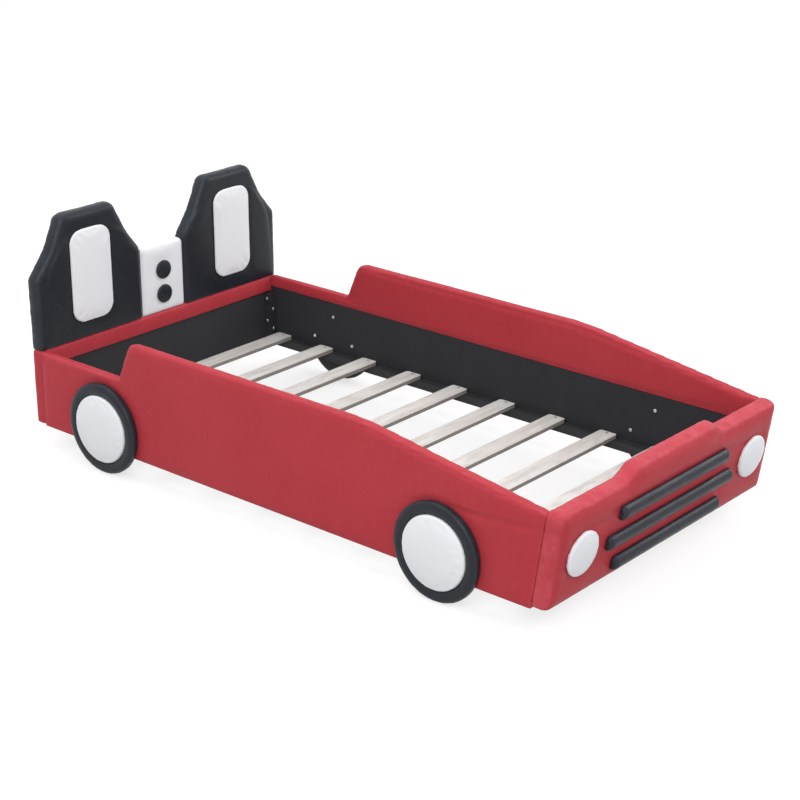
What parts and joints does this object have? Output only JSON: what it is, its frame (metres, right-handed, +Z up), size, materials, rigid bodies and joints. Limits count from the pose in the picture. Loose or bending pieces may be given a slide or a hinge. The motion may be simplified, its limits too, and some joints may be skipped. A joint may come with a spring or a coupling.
{
  "type": "car bed for children",
  "caption": "Child's bed in the shape of an open car, with padded side, head and front panels, seat-back headboard, wheels and a slatted base for a 39 x 75 in mattress.",
  "frame": {"origin": "on the floor under the middle of the bed's box", "axes": "+Z up, +Y towards the headboard, -Y towards the grille, X across the bed"},
  "size_m": [1.1134, 2.0406, 0.7255],
  "materials": {
    "red_vinyl": "satin red vinyl over foam",
    "black_vinyl": "satin black vinyl over foam",
    "white_vinyl": "satin white vinyl over foam",
    "black_lining": "matt black non-woven lining",
    "plywood": "raw board, covered",
    "slat_wood": "pale planed wood",
    "black_wood": "black painted wood",
    "bright_steel": "zinc plated"
  },
  "bodies": {
    "root": {"console_pad": "white_vinyl", "front_board": "plywood", "front_cover": "red_vinyl", "front_lining": "black_lining", "headboard_board": "plywood", "headboard_cover": "red_vinyl", "headboard_lining": "black_lining", "left_front_hub_pad": "white_vinyl", "left_front_post": "black_wood", "left_front_tyre_pad": "black_vinyl", "left_front_wheel_board": "black_wood", "left_headlamp_board": "plywood", "left_headlamp_pad": "white_vinyl", "left_rear_hub_pad": "white_vinyl", "left_rear_post": "black_wood", "left_rear_tyre_pad": "black_vinyl", "left_rear_wheel_board": "black_wood", "left_seat_back_inset": "white_vinyl", "left_seat_back_pad": "black_vinyl", "left_side_board": "plywood", "left_side_cover": "red_vinyl", "left_side_lining": "black_lining", "left_slat_rail": "black_wood", "lower_console_button": "black_vinyl", "lower_grille_bar": "black_vinyl", "middle_grille_bar": "black_vinyl", "post_bolts": "bright_steel", "right_front_hub_pad": "white_vinyl", "right_front_post": "black_wood", "right_front_tyre_pad": "black_vinyl", "right_front_wheel_board": "black_wood", "right_headlamp_board": "plywood", "right_headlamp_pad": "white_vinyl", "right_rear_hub_pad": "white_vinyl", "right_rear_post": "black_wood", "right_rear_tyre_pad": "black_vinyl", "right_rear_wheel_board": "black_wood", "right_seat_back_inset": "white_vinyl", "right_seat_back_pad": "black_vinyl", "right_side_board": "plywood", "right_side_cover": "red_vinyl", "right_side_lining": "black_lining", "right_slat_rail": "black_wood", "slat_01": "slat_wood", "slat_02": "slat_wood", "slat_03": "slat_wood", "slat_04": "slat_wood", "slat_05": "slat_wood", "slat_06": "slat_wood", "slat_07": "slat_wood", "slat_08": "slat_wood", "slat_09": "slat_wood", "slat_10": "slat_wood", "slat_rail_screws": "bright_steel", "slat_screws": "bright_steel", "upper_console_button": "black_vinyl", "upper_grille_bar": "black_vinyl", "wheel_bolts": "bright_steel"}
  },
  "joints": []
}
